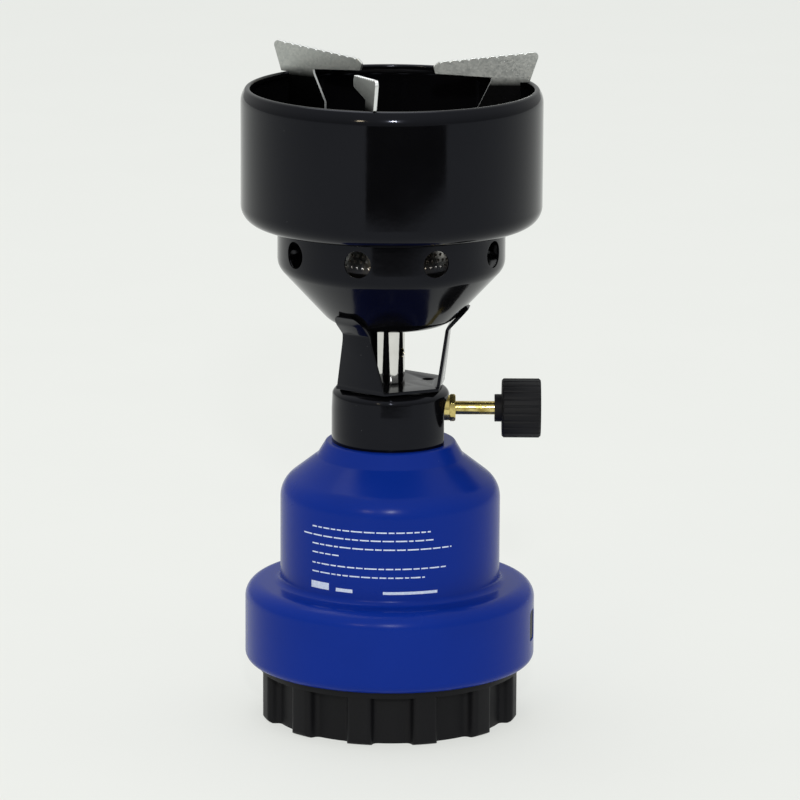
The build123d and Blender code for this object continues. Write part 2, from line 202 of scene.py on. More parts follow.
def arc(centre, radius, start, end, steps):
    """Points of a flat arc, with angles in degrees."""
    turns = [math.radians(start + (end - start) * k / steps) for k in range(steps + 1)]
    return [(centre[0] + radius * math.cos(t), centre[1] + radius * math.sin(t)) for t in turns]


def grip_slice(name, outline, rows):
    """Slice of a grip, from an outline about +X and rows of (height, largest radius, is it round)."""
    points = []
    for height, limit, is_round in rows:
        for x, y in outline:
            reach = math.hypot(x, y)
            grow = limit / reach if is_round else min(limit / reach, 1.0)
            points.append((x * grow, y * grow, height))
    wide = len(outline)
    faces = [(i * wide + j, i * wide + j + 1, (i + 1) * wide + j + 1, (i + 1) * wide + j)
             for i in range(len(rows) - 1) for j in range(wide - 1)]
    return new_piece(name, points, faces)


ring_tree = bpy.data.node_groups.new("copies_round_an_axis", "GeometryNodeTree")
sockets = ring_tree.interface
for socket, kind in (("Slice", "Geometry"), ("Copies", "Int"), ("First bearing", "Float"), ("Weld", "Float"),
                     ("Finish", "Material")):
    sockets.new_socket(name=socket, in_out="INPUT", socket_type="NodeSocket" + kind)
sockets.new_socket(name="Ring", in_out="OUTPUT", socket_type="NodeSocketGeometry")
ring_inputs = {item.name: item.identifier for item in sockets.items_tree if item.in_out == "INPUT"}
given = add_node(ring_tree, "NodeGroupInput")
seats = add_node(ring_tree, "GeometryNodeMeshLine", {"Count": given.outputs["Copies"], "Offset": (0, 0, 0)})
number = add_node(ring_tree, "GeometryNodeInputIndex")
share = add_node(ring_tree, "ShaderNodeMath", {
    0: number.outputs[0], 1: given.outputs["Copies"]}, operation="DIVIDE")
bearing = add_node(ring_tree, "ShaderNodeMath", {
    0: share.outputs[0], 1: math.tau, 2: given.outputs["First bearing"]}, operation="MULTIPLY_ADD")
spin = add_node(ring_tree, "FunctionNodeAxisAngleToRotation", {
    "Axis": (0, 0, 1), "Angle": bearing.outputs[0]})
placed = add_node(ring_tree, "GeometryNodeInstanceOnPoints", {
    "Points": seats.outputs[0], "Instance": given.outputs["Slice"], "Rotation": spin.outputs[0]})
real = add_node(ring_tree, "GeometryNodeRealizeInstances", {"Geometry": placed.outputs[0]})
welded = add_node(ring_tree, "GeometryNodeMergeByDistance", {
    "Geometry": real.outputs[0], "Distance": given.outputs["Weld"]})
painted = add_node(ring_tree, "GeometryNodeSetMaterial", {
    "Geometry": welded.outputs[0], "Material": given.outputs["Finish"]})
add_node(ring_tree, "NodeGroupOutput", {"Ring": painted.outputs[0]})


def ring_up(piece, copies, first_bearing, finish, weld=0.02):
    """Repeats the mesh round Z from `first_bearing`, in degrees; `weld` is in millimetres."""
    maker = piece.modifiers.new("copies", "NODES")
    maker.node_group = ring_tree
    maker[ring_inputs["Copies"]] = copies
    maker[ring_inputs["First bearing"]] = math.radians(first_bearing)
    maker[ring_inputs["Weld"]] = weld / 1000
    maker[ring_inputs["Finish"]] = finish


def soften(piece, width, steps=2, angle=35):
    """Rounds the sharp edges by `width` millimetres."""
    edge = piece.modifiers.new("edges", "BEVEL")
    edge.width = width / 1000
    edge.segments = steps
    edge.limit_method = "ANGLE"
    edge.angle_limit = math.radians(angle)
    edge.use_clamp_overlap = True


def settle(piece, crease=38, place=None):
    """Makes the modifiers' result a plain mesh in its place, smooth up to the crease angle."""
    graph = bpy.context.evaluated_depsgraph_get()
    mesh = bpy.data.meshes.new_from_object(piece.evaluated_get(graph))
    piece.modifiers.clear()
    piece.data = mesh
    if place is not None:
        mesh.transform(place)
    mesh.shade_smooth()
    mesh.set_sharp_from_angle(angle=math.radians(crease))
    return piece


def hand_over(piece, body, slot, *nodes):
    """The piece rides on its body and stands for its CAD nodes, which are hidden; `slot` is not used."""
    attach(piece, body)
    if nodes:
        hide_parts(*nodes)


# Moulded polypropylene: satin black with a fine spark texture, which greys it where light rakes over it.
cup_plastic, tree, spot = start_finish("spark_textured_black_polypropylene")
grain = add_node(tree, "ShaderNodeTexNoise", {
    "Vector": spot, "Scale": per(0.9), "Detail": 4.0, "Roughness": 0.6})
cloud = add_node(tree, "ShaderNodeTexNoise", {"Vector": spot, "Scale": per(22), "Detail": 3.0})
gloss = add_node(tree, "ShaderNodeMapRange", {
    "Value": cloud.outputs[0], "From Min": 0.3, "From Max": 0.7, "To Min": 0.42, "To Max": 0.56})
relief = add_node(tree, "ShaderNodeBump", {
    "Height": grain.outputs[0], "Strength": 0.35, "Distance": 0.00012})
shade = add_node(tree, "ShaderNodeBsdfPrincipled", {
    "Base Color": blend_colours(tree, "#0B0B0E", "#111114", grain.outputs[0]),
    "Roughness": gloss.outputs[0],
    "IOR": 1.49,
    "Specular IOR Level": 0.16,
    "Normal": relief.outputs[0],
})
add_node(tree, "ShaderNodeOutputMaterial", {"Surface": shade.outputs[0]})

cup_high = span("base_cup")[1]
cup_lobes, first_lobe = 12, 16.5
lobe_end, lobe_half, lobe_round = 55.7, 5.4, 2.4
valley = 50.6
hollow_y = lobe_half + lobe_round
hollow_x = math.sqrt((valley + lobe_round) ** 2 - hollow_y ** 2)
hollow_turn = math.degrees(math.atan2(hollow_y, hollow_x))
half = arc((0, 0), valley, 180 / cup_lobes, hollow_turn, 3)
half += arc((hollow_x, hollow_y), lobe_round, 180 + hollow_turn, 270, 5)[1:]
half += arc((lobe_end - lobe_round, lobe_half - lobe_round), lobe_round, 90, 0, 6)
cup_outline = [(x, -y) for x, y in half] + [(lobe_end, 0)] + [(x, y) for x, y in reversed(half)]
flange_radius = cup_high.x
flange_low, flange_high = 21.2, 27.5
sleeve_radius, sleeve_bore, cup_bore, cup_floor = 54.5, 51.5, 46.0, 4.0
foot_round = 3.6
foot_limit = lobe_end + 1.0
recess, rib = 1.2, 0.5
cup_rows = [(recess, 0.0, True), (recess, 17.0, True), (rib, 18.0, True), (rib, 38.0, True),
            (recess, 39.0, True), (recess, 44.0, True), (0.0, 45.5, True)]
for step in range(6):
    turn = math.radians(90 * step / 5)
    drawn_in = foot_round * (1 - math.sin(turn))
    cup_rows.append((foot_round * (1 - math.cos(turn)), foot_limit - drawn_in, False))
cup_rows += [(flange_low - 0.4, foot_limit, False), (flange_low, foot_limit, False)]
ledge = flange_high + 3
cup_rows += [(height, radius, True) for height, radius in (
    (flange_low, flange_radius), (flange_high, flange_radius), (flange_high, sleeve_radius),
    (cup_high.z, sleeve_radius), (cup_high.z, sleeve_bore), (ledge, sleeve_bore), (ledge, cup_bore),
    (cup_floor, cup_bore), (cup_floor, 0.0))]
base_cup = grip_slice("base_cup", cup_outline, cup_rows)
ring_up(base_cup, cup_lobes, first_lobe - 90, cup_plastic)
soften(base_cup, 0.35, 2)
settle(base_cup)
hand_over(base_cup, "screw_base", "black_plastic", "base_cup")

# ---- Shell ---------------------------------------------------------------------------------
# Deep-drawn steel, stove-enamelled blue inside and out: skirt, step, cylinder, sloping shoulder and
# neck in one pressing. Two windows in the skirt hold the lugs of the plastic nut ring.


def bent(points, radii, step=7.5):
    """Section of a bent sheet as (radius, height) points, each inner corner drawn as an arc."""
    line = [Vector(points[0])]
    for before, corner, after, radius in zip(points, points[1:], points[2:], radii):
        corner = Vector(corner)
        back = (Vector(before) - corner).normalized()
        ahead = (Vector(after) - corner).normalized()
        half_angle = back.angle(ahead) / 2
        centre = corner + (back + ahead).normalized() * radius / math.sin(half_angle)
        reach = radius / math.tan(half_angle)
        first, last = corner + back * reach - centre, corner + ahead * reach - centre
        start = math.atan2(first.y, first.x)
        swing = (math.atan2(last.y, last.x) - start + math.pi) % math.tau - math.pi
        steps = max(3, round(abs(math.degrees(swing)) / step))
        turns = [start + swing * k / steps for k in range(steps + 1)]
        line += [centre + Vector((math.cos(turn), math.sin(turn))) * radius for turn in turns]
    line.append(Vector(points[-1]))
    return line


def at_height(line, height):
    """Point where a rising section reaches a height."""
    for low, high in zip(line, line[1:]):
        if low.y <= height <= high.y and high.y > low.y:
            return low.lerp(high, (height - low.y) / (high.y - low.y))
    return None


def with_rows(line, low, high, count):
    """The section with even rows between two heights, and the number of the first of them."""
    rows = [at_height(line, low + (high - low) * k / count) for k in range(count + 1)]
    below = [p for k, p in enumerate(line) if p.y < low - 0.05]
    above = line[len(below):]
    while above[0].y < high + 0.05:
        above.pop(0)
    return below + rows + above, len(below)


def rounded_loop(width, height, radius, counts):
    """Rounded rectangle about the origin, with so many steps along its bottom, right, top and left."""
    loop = []
    for side, count in enumerate(counts):
        run, off = ((width, height) if side % 2 == 0 else (height, width))
        run, off = run / 2 - radius, off / 2 - radius
        share = 0.5 if run < 0.001 else 0.3
        for k in range(count):
            along = k / count
            if along <= share:
                turn, base = -135 + 45 * along / share, -run
            elif along >= 1 - share:
                turn, base = -90 + 45 * (along - 1 + share) / share, run
            else:
                turn, base = -90, -run + 2 * run * (along - share) / (1 - 2 * share)
            x = base + radius * math.cos(math.radians(turn))
            y = -off + radius * math.sin(math.radians(turn))
            for _ in range(side):
                x, y = -y, x
            loop.append((x, y))
    return loop


def loop_faces(outer, inner):
    """Faces between two closed loops of as many points."""
    count = len(outer)
    return [(outer[k], outer[(k + 1) % count], inner[(k + 1) % count], inner[k]) for k in range(count)]


def sheet_slice(name, line, columns, sweep, opening=None):
    """Slice of a round pressing about the bearing 0, `sweep` degrees wide, with one opening cut in it.

    `opening` is (first row, rows, columns, loop of (sideways, up) points, height of its middle).
    """
    wide = columns + 1
    turns = [math.radians(sweep * (j / columns - 0.5)) for j in range(wide)]
    points = [(p.x * math.sin(t), -p.x * math.cos(t), p.y) for p in line for t in turns]
    quads = {(i, j): (i * wide + j, i * wide + j + 1, (i + 1) * wide + j + 1, (i + 1) * wide + j)
             for i in range(len(line) - 1) for j in range(columns)}
    if opening:
        row, tall, across, loop, middle_height = opening
        first = (columns - across) // 2
        for i in range(row, row + tall):
            for j in range(first, first + across):
                del quads[i, j]
        edge = [(row, first + k) for k in range(across)]
        edge += [(row + k, first + across) for k in range(tall)]
        edge += [(row + tall, first + across - k) for k in range(across)]
        edge += [(row + tall - k, first) for k in range(tall)]
        rim = [i * wide + j for i, j in edge]
        flat_rim = [(turns[j], line[i].y) for i, j in edge]
        hole_radius = at_height(line, middle_height).x
        flat_hole = [(math.asin(x / hole_radius), middle_height + y) for x, y in loop]
        extra = []
        for share in (0.4, 0.75, 0.93, 1.0):
            inner = []
            for (t0, h0), (t1, h1) in zip(flat_rim, flat_hole):
                t, h = t0 + (t1 - t0) * share, h0 + (h1 - h0) * share
                inner.append(len(points))
                reach = at_height(line, h).x
                points.append((reach * math.sin(t), -reach * math.cos(t), h))
            extra += loop_faces(rim, inner)
            rim = inner
        return new_piece(name, points, list(quads.values()) + extra)
    return new_piece(name, points, list(quads.values()))


def wall(piece, thickness):
    """Gives a sheet its thickness, inwards."""
    sheet = piece.modifiers.new("sheet", "SOLIDIFY")
    sheet.thickness = thickness / 1000
    sheet.offset = -1
    sheet.use_even_offset = True
    sheet.use_rim = True


# Stove enamel over pressed steel: deep glossy blue, with the soft ripple of sprayed paint and a few
# specks of dust.
blue_enamel, tree, spot = start_finish("blue_stove_enamel_on_pressed_steel")
ripple = add_node(tree, "ShaderNodeTexNoise", {"Vector": spot, "Scale": per(2.2), "Detail": 1.0})
drift = add_node(tree, "ShaderNodeTexNoise", {"Vector": spot, "Scale": per(35), "Detail": 3.0})
dust = add_node(tree, "ShaderNodeTexVoronoi", {"Vector": spot, "Scale": per(5.5), "Randomness": 1.0})
speck = add_node(tree, "ShaderNodeMapRange", {
    "Value": dust.outputs["Distance"], "From Min": 0.016, "From Max": 0.03, "To Min": 1.0, "To Max": 0.0})
rare = add_node(tree, "ShaderNodeMath", {0: drift.outputs[0], 1: 0.56}, operation="GREATER_THAN")
specks = add_node(tree, "ShaderNodeMath", {0: speck.outputs[0], 1: rare.outputs[0]}, operation="MULTIPLY")
coat = blend_colours(tree, "#07267E", "#092A8A", drift.outputs[0])
dusty = add_node(tree, "ShaderNodeMix", {
    0: specks.outputs[0], 6: coat, 7: hex_colour("#8FA9D8")}, data_type="RGBA")
gloss = add_node(tree, "ShaderNodeMapRange", {
    "Value": drift.outputs[0], "From Min": 0.3, "From Max": 0.7, "To Min": 0.2, "To Max": 0.28})
relief = add_node(tree, "ShaderNodeBump", {
    "Height": ripple.outputs[0], "Strength": 0.12, "Distance": 0.0001})
shade = add_node(tree, "ShaderNodeBsdfPrincipled", {
    "Base Color": dusty.outputs[2],
    "Roughness": gloss.outputs[0],
    "IOR": 1.45,
    "Specular IOR Level": 0.11,
    "Normal": relief.outputs[0],
})
add_node(tree, "ShaderNodeOutputMaterial", {"Surface": shade.outputs[0]})

shell_low, shell_high = span("body_shell")
skirt_radius = shell_high.x
skirt_top, body_radius, neck_radius = 59.3, 47.2, 27.6
shoulder_radius, shoulder_top, shoulder_slope = 31.4, 114.6, 0.78
shoulder = shoulder_top - shoulder_slope * (body_radius - shoulder_radius)
skirt_lip, valve_hole = 57.5, 8.0
shell_line = bent([
    (skirt_lip, shell_low.z),
    (skirt_radius, shell_low.z),
    (skirt_radius, skirt_top),
    (body_radius, skirt_top),
    (body_radius, shoulder),
    (shoulder_radius, shoulder_top),
    (neck_radius, shell_high.z),
    (valve_hole, shell_high.z),
], [4.2, 7.0, 3.0, 12.0, 3.0, 1.6], 6)
window_width, window_low, window_high, window_round = 10.0, 35.4, 48.6, 2.0
window_rows, window_columns, window_margin, first_window = 12, 10, 1.7, 80.5
shell_line, window_row = with_rows(
    shell_line, window_low - window_margin, window_high + window_margin, window_rows)
window_loop = rounded_loop(window_width, window_high - window_low, window_round,
                           (window_columns, window_rows, window_columns, window_rows))
window = (window_row, window_rows, window_columns, window_loop, (window_low + window_high) / 2)
body_shell = sheet_slice("body_shell", shell_line, 90, 180, window)
ring_up(body_shell, 2, first_window, blue_enamel)
wall(body_shell, 0.8)
soften(body_shell, 0.2, 2, 50)
settle(body_shell)
hand_over(body_shell, "housing", "blue_shell", "body_shell")

# The nut ring is a piece of its own in the cup's plastic, and clips into the skirt from inside.


def refined(node, name, finish, body, slot, edge=0.15, angle=35, crease=35):
    """Copy of a CAD node with its doubles merged and its edges rounded, which stands for the node."""
    piece = bpy.data.objects.new(name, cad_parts[node].data.copy())
    bpy.context.scene.collection.objects.link(piece)
    work = bmesh.new()
    work.from_mesh(piece.data)
    bmesh.ops.remove_doubles(work, verts=work.verts, dist=0.000004)
    bmesh.ops.dissolve_limit(work, angle_limit=math.radians(0.5), verts=work.verts, edges=work.edges,
                             delimit={"NORMAL"})
    work.to_mesh(piece.data)
    work.free()
    piece.data.materials.clear()
    piece.data.materials.append(finish)
    if edge:
        soften(piece, edge, 2, angle)
    settle(piece, crease)
    hand_over(piece, body, slot, node)
    return piece


refined("thread_ring", "nut_ring", cup_plastic, "housing", "black_plastic", 0.3)

# The user notes are pad-printed in white on the cylinder; they are shown only as plain bars.
white_ink, tree, spot = start_finish("white_pad_print_ink")
thin = add_node(tree, "ShaderNodeTexNoise", {"Vector": spot, "Scale": per(0.8), "Detail": 2.0})
shade = add_node(tree, "ShaderNodeBsdfPrincipled", {
    "Base Color": blend_colours(tree, "#9FB4E0", "#E6ECF6", thin.outputs[0]),
    "Roughness": 0.45,
})
add_node(tree, "ShaderNodeOutputMaterial", {"Surface": shade.outputs[0]})

ink_radius = body_radius + 0.04
print_lines = [(-44, 21.5, 91.0), (-50.4, 23, 87.4), (-44, 33.6, 83.6), (-44, -27.3, 79.8),
               (-44, 30.2, 75.2), (-44, 18.4, 71.4)]
print_blocks = [(-44.7, -33.1, 64.4, 67.4), (-28.9, -19.5, 64.4, 65.9), (-3.4, 25.4, 64.4, 65.6)]
word_gap, mark_height = 0.9, 0.55
words = random.Random(4)
points, faces = [], []


def print_bar(start, end, low, high):
    """One printed bar between two bearings, following the cylinder."""
    steps = max(1, round((end - start) / 2))
    first = len(points)
    for k in range(steps + 1):
        turn = math.radians(start + (end - start) * k / steps)
        for height in (low, high):
            points.append((ink_radius * math.sin(turn), -ink_radius * math.cos(turn), height))
    for k in range(steps):
        corner = first + 2 * k
        faces.append((corner, corner + 2, corner + 3, corner + 1))


for start, end, height in print_lines:
    bearing_now = start
    while bearing_now < end:
        word = words.uniform(2.0, 6.5)
        print_bar(bearing_now, min(bearing_now + word, end), height, height + mark_height)
        bearing_now += word + word_gap
for start, end, low, high in print_blocks:
    print_bar(start, end, low, high)
printed_notes = new_piece("printed_notes", points, faces)
printed_notes.data.materials.append(white_ink)
ink = printed_notes.modifiers.new("ink", "SOLIDIFY")
ink.thickness = 0.00006
ink.offset = -1
settle(printed_notes)
hand_over(printed_notes, "housing", "blue_shell")

# ---- Valve cover ---------------------------------------------------------------------------
# Black enamelled steel cap over the valve block, deep-drawn, with an arched notch on one side
# for the brass boss. It is clamped down by the parts above it.

# Stove enamel over steel: near-black and mirror-like, with faint ripple, and hazier where it was handled.
black_enamel, tree, spot = start_finish("black_stove_enamel_on_pressed_steel")
ripple = add_node(tree, "ShaderNodeTexNoise", {"Vector": spot, "Scale": per(2.6), "Detail": 1.0})
haze = add_node(tree, "ShaderNodeTexNoise", {"Vector": spot, "Scale": per(28), "Detail": 4.0})
dust = add_node(tree, "ShaderNodeTexVoronoi", {"Vector": spot, "Scale": per(6.5), "Randomness": 1.0})
speck = add_node(tree, "ShaderNodeMapRange", {
    "Value": dust.outputs["Distance"], "From Min": 0.012, "From Max": 0.024, "To Min": 1.0, "To Max": 0.0})
rare = add_node(tree, "ShaderNodeMath", {0: haze.outputs[0], 1: 0.55}, operation="GREATER_THAN")
specks = add_node(tree, "ShaderNodeMath", {0: speck.outputs[0], 1: rare.outputs[0]}, operation="MULTIPLY")
coat = blend_colours(tree, "#050506", "#0A0A0C", haze.outputs[0])
dusty = add_node(tree, "ShaderNodeMix", {
    0: specks.outputs[0], 6: coat, 7: hex_colour("#5A5A5C")}, data_type="RGBA")
gloss = add_node(tree, "ShaderNodeMapRange", {
    "Value": haze.outputs[0], "From Min": 0.3, "From Max": 0.7, "To Min": 0.07, "To Max": 0.14})
relief = add_node(tree, "ShaderNodeBump", {
    "Height": ripple.outputs[0], "Strength": 0.08, "Distance": 0.0001})
shade = add_node(tree, "ShaderNodeBsdfPrincipled", {
    "Base Color": dusty.outputs[2],
    "Roughness": gloss.outputs[0],
    "IOR": 1.45,
    "Specular IOR Level": 0.24,
    "Specular Tint": hex_colour("#E4E9FF"),
    "Normal": relief.outputs[0],
})
add_node(tree, "ShaderNodeOutputMaterial", {"Surface": shade.outputs[0]})

cover_low, cover_high = span("valve_cover")
cover_radius = cover_high.y
cover_hole = 5.2
cover_line = bent(
    [(cover_radius, cover_low.z), (cover_radius, cover_high.z), (cover_hole, cover_high.z)], [4.0])
notch_half, notch_top, notch_round = 10.8, 141.6, 6.5
notch_turn = math.asin(notch_half / cover_radius)


def notch_edge(turn):
    """Height of the cover's lower edge at an angle from the notch's middle."""
    side = abs(cover_radius * math.sin(turn))
    over = max(0.0, side - (notch_half - notch_round))
    return notch_top - notch_round + math.sqrt(max(0.0, notch_round ** 2 - over ** 2))


notch_columns, rest_columns, lift_rows = 28, 124, 6
spring = notch_top - notch_round
turns = [-notch_turn * math.cos(math.pi * k / notch_columns) for k in range(notch_columns)]
turns += [notch_turn + (math.tau - 2 * notch_turn) * k / rest_columns for k in range(rest_columns)]
upper = [p for p in cover_line if p.y > notch_top + 0.2]
points, faces = [], []
for k, turn in enumerate(turns):
    edge_height = notch_edge(turn) if k < notch_columns else spring
    column = [(cover_radius, cover_low.z + (spring - cover_low.z) * i / 3) for i in range(3)]
    start = at_height(cover_line, edge_height)
    column += [tuple(start.lerp(upper[0], i / lift_rows)) if i else tuple(start) for i in range(lift_rows)]
    column += [tuple(p) for p in upper]
    points += [(r * math.cos(turn), r * math.sin(turn), z) for r, z in column]
tall = 3 + lift_rows + len(upper)
for k in range(len(turns)):
    after = (k + 1) % len(turns)
    for i in range(tall - 1):
        if i < 3 and k < notch_columns:
            continue
        faces.append((k * tall + i, after * tall + i, after * tall + i + 1, k * tall + i + 1))
valve_cover = new_piece("valve_cover", points, faces)
work = bmesh.new()
work.from_mesh(valve_cover.data)
bmesh.ops.delete(work, geom=[v for v in work.verts if not v.link_faces], context="VERTS")
work.to_mesh(valve_cover.data)
work.free()
valve_cover.data.materials.append(black_enamel)
wall(valve_cover, 1.0)
soften(valve_cover, 0.22, 2, 50)
settle(valve_cover)
hand_over(valve_cover, "housing", "black_paint", "valve_cover")

# ---- Valve, spindle and knob ---------------------------------------------------------------
# The valve block is turned brass; its boss, gland nut and spindle come out to the side. The knob is
# moulded on a brass bush and held by a slotted screw in its end.

# Turned brass: warm yellow metal with fine tool rings round the part's own axis, and a few darker stains.
turned_brass, tree, spot = start_finish("turned_brass")
lathe = add_node(tree, "ShaderNodeMapping", {
    "Vector": spot, "Scale": (1.0, 0.02, 0.02)})
rings = add_node(tree, "ShaderNodeTexNoise", {
    "Vector": lathe.outputs[0], "Scale": per(0.35), "Detail": 2.0})
stain = add_node(tree, "ShaderNodeTexNoise", {"Vector": spot, "Scale": per(4), "Detail": 4.0})
stained = add_node(tree, "ShaderNodeMapRange", {
    "Value": stain.outputs[0], "From Min": 0.35, "From Max": 0.7})
gloss = add_node(tree, "ShaderNodeMapRange", {
    "Value": stain.outputs[0], "From Min": 0.3, "From Max": 0.7, "To Min": 0.17, "To Max": 0.32})
relief = add_node(tree, "ShaderNodeBump", {
    "Height": rings.outputs[0], "Strength": 0.25, "Distance": 0.00008})
shade = add_node(tree, "ShaderNodeBsdfPrincipled", {
    "Base Color": blend_colours(tree, "#DCCB86", "#A8944F", stained.outputs[0]),
    "Metallic": 1.0,
    "Roughness": gloss.outputs[0],
    "Normal": relief.outputs[0],
})
add_node(tree, "ShaderNodeOutputMaterial", {"Surface": shade.outputs[0]})

# Knob plastic: matt, slightly greyer than the cup, with an even fine grain.
knob_plastic, tree, spot = start_finish("matt_moulded_black_nylon")
grain = add_node(tree, "ShaderNodeTexNoise", {"Vector": spot, "Scale": per(0.5), "Detail": 4.0})
flow = add_node(tree, "ShaderNodeTexNoise", {"Vector": spot, "Scale": per(9), "Detail": 2.0})
relief = add_node(tree, "ShaderNodeBump", {"Height": grain.outputs[0], "Strength": 0.3, "Distance": 0.0001})
shade = add_node(tree, "ShaderNodeBsdfPrincipled", {
    "Base Color": blend_colours(tree, "#101113", "#16161A", flow.outputs[0]),
    "Roughness": 0.55,
    "IOR": 1.5,
    "Specular IOR Level": 0.15,
    "Normal": relief.outputs[0],
})
add_node(tree, "ShaderNodeOutputMaterial", {"Surface": shade.outputs[0]})

# Zinc-plated steel: bluish silver with a faint straw tint from the passivation.
zinc_plate, tree, spot = start_finish("bright_zinc_plated_steel")
tint = add_node(tree, "ShaderNodeTexNoise", {"Vector": spot, "Scale": per(5), "Detail": 3.0})
relief = add_node(tree, "ShaderNodeBump", {"Height": tint.outputs[0], "Strength": 0.15, "Distance": 0.0001})
shade = add_node(tree, "ShaderNodeBsdfPrincipled", {
    "Base Color": blend_colours(tree, "#C9CDD2", "#CFC8B2", tint.outputs[0]),
    "Metallic": 1.0,
    "Roughness": 0.27,
    "Normal": relief.outputs[0],
})
add_node(tree, "ShaderNodeOutputMaterial", {"Surface": shade.outputs[0]})

gland_low, gland_high = span("packing_nut")
valve_height = (gland_low.z + gland_high.z) / 2
to_valve_line = Matrix.Translation((0, 0, valve_height / 1000)) @ Matrix.Rotation(math.radians(90), 4, "Y")


def turned_slice(name, line, columns, sweep):
    """Slice of a turned piece; a line that ends where it starts makes a ring."""
    return sheet_slice(name, [Vector(p) for p in line], columns, sweep)


refined("valve_body", "valve_block", turned_brass, "housing", "brass", 0.25)
refined("packing_nut", "gland_nut", turned_brass, "housing", "brass", 0.12)

spindle_high = span("valve_spindle")[1]
shank = 2.9
thread, groove_floor, screw_bore, spindle_end = 3.4, 2.2, 1.25, spindle_high.x
spindle_line = [(0, 4.5), (0.4, 4.5), (0.85, 5.0), (2.6, 7.0), (2.6, 9.0), (thread, 9.6), (thread, 16.6),
                (shank, 17.05), (groove_floor, 17.05), (groove_floor, 18.55), (shank, 18.55), (shank, 30.0),
                (shank, 36.0), (shank, spindle_end - 0.3), (shank - 0.3, spindle_end),
                (screw_bore, spindle_end), (screw_bore, 50.0), (0, 50.0)]
spindle = turned_slice("valve_spindle", spindle_line, 8, 45)
ring_up(spindle, 8, 0, turned_brass, 0.01)
settle(spindle, 30, to_valve_line)
hand_over(spindle, "spindle", "brass", "valve_spindle")

knob_low, knob_high = span("control_knob")
knob_radius = knob_high.y
knob_grooves = 24
groove_round, groove_centre = 0.6, knob_radius + 0.25
meet = (knob_radius ** 2 + groove_centre ** 2 - groove_round ** 2) / (2 * groove_centre)
meet_turn = math.degrees(math.acos(meet / knob_radius))
groove_turn = math.degrees(math.acos((meet - groove_centre) / groove_round))
land = arc((0, 0), knob_radius, -180 / knob_grooves, -meet_turn, 3)
groove = arc((groove_centre, 0), groove_round, 360 - groove_turn, groove_turn, 6)
knob_outline = land[:-1] + groove + [(x, -y) for x, y in reversed(land)][1:]
collar_radius, bush_radius, head_start, edge_cut = 5.9, 4.0, 47.6, 0.8
knob_start, knob_end = knob_low.x, knob_high.x
knob_rows = [(knob_start, bush_radius, True), (knob_start, collar_radius, True),
             (head_start, collar_radius, True), (head_start, knob_radius - edge_cut, False),
             (head_start + edge_cut, knob_radius, False), (knob_end - edge_cut, knob_radius, False),
             (knob_end, knob_radius - edge_cut, False), (knob_end, 8.4, True), (knob_end - 0.5, 7.9, True),
             (knob_end - 0.5, 5.4, True), (knob_end, 4.9, True), (knob_end, 3.7, True), (60.5, 3.7, True),
             (60.5, 1.6, True), (58.0, 1.6, True), (58.0, bush_radius, True), (knob_start, bush_radius, True)]
knob = grip_slice("control_knob", knob_outline, knob_rows)
ring_up(knob, knob_grooves, 0, knob_plastic, 0.01)
soften(knob, 0.2, 2, 40)
settle(knob, 38, to_valve_line)
hand_over(knob, "spindle", "knob_plastic", "control_knob")
refined("knob_insert", "knob_bush", turned_brass, "spindle", "brass", 0.1)
refined("knob_screw", "knob_screw", zinc_plate, "spindle", "bright_steel", 0.12)

# ---- Burner bracket ------------------------------------------------------------------------
# One blank of black-enamelled steel: a hexagonal plate with three tapering legs folded up, whose
# tabs lie along the bowl's cone and are spot-welded to it.
refined("burner_bracket", "burner_bracket", black_enamel, "housing", "black_paint", 0.25, 40, 30)
refined("plate_spacer", "plate_spacer", zinc_plate, "housing", "bright_steel", 0.1)

# ---- Mixing tube ---------------------------------------------------------------------------
# Bright nickel-plated brass tube that screws down on the valve's spigot. Air goes in through the
# cross-drilled hole above the jet.

# Bright nickel: mirror-like warm silver with fine draw lines along the tube and a little tarnish low down.
bright_nickel, tree, spot = start_finish("bright_nickel_plate")
drawn = add_node(tree, "ShaderNodeMapping", {"Vector": spot, "Scale": (1.0, 1.0, 0.03)})
lines = add_node(tree, "ShaderNodeTexNoise", {"Vector": drawn.outputs[0], "Scale": per(0.5), "Detail": 2.0})
tarnish = add_node(tree, "ShaderNodeTexNoise", {"Vector": spot, "Scale": per(7), "Detail": 4.0})
gloss = add_node(tree, "ShaderNodeMapRange", {
    "Value": tarnish.outputs[0], "From Min": 0.35, "From Max": 0.75, "To Min": 0.05, "To Max": 0.14})
relief = add_node(tree, "ShaderNodeBump", {
    "Height": lines.outputs[0], "Strength": 0.08, "Distance": 0.00005})
shade = add_node(tree, "ShaderNodeBsdfPrincipled", {
    "Base Color": blend_colours(tree, "#E0E0DE", "#CFCDC8", tarnish.outputs[0]),
    "Metallic": 1.0,
    "Roughness": gloss.outputs[0],
    "Normal": relief.outputs[0],
})
add_node(tree, "ShaderNodeOutputMaterial", {"Surface": shade.outputs[0]})

tube_low, tube_high = span("mixing_tube")
tube_radius, tube_bore, air_hole, air_height = tube_high.x, 5.15, 1.85, 160.0
hole_rows = 6
tube_line = [Vector((tube_radius, z)) for z in (tube_low.z, tube_low.z + 0.4)]
tube_line += [Vector((tube_radius, air_height - 3 + 6 * k / hole_rows)) for k in range(hole_rows + 1)]
tube_line += [Vector((tube_radius, z)) for z in (tube_high.z - 0.4, tube_high.z)]
air_loop = rounded_loop(2 * air_hole, 2 * air_hole, air_hole, (8, hole_rows, 8, hole_rows))
mixing_tube = sheet_slice("mixing_tube", tube_line, 24, 180, (2, hole_rows, 8, air_loop, air_height))
ring_up(mixing_tube, 2, 52.0, bright_nickel, 0.01)
wall(mixing_tube, tube_radius - tube_bore)
soften(mixing_tube, 0.12, 2, 50)
settle(mixing_tube)
hand_over(mixing_tube, "housing", "nickel_plate", "mixing_tube")

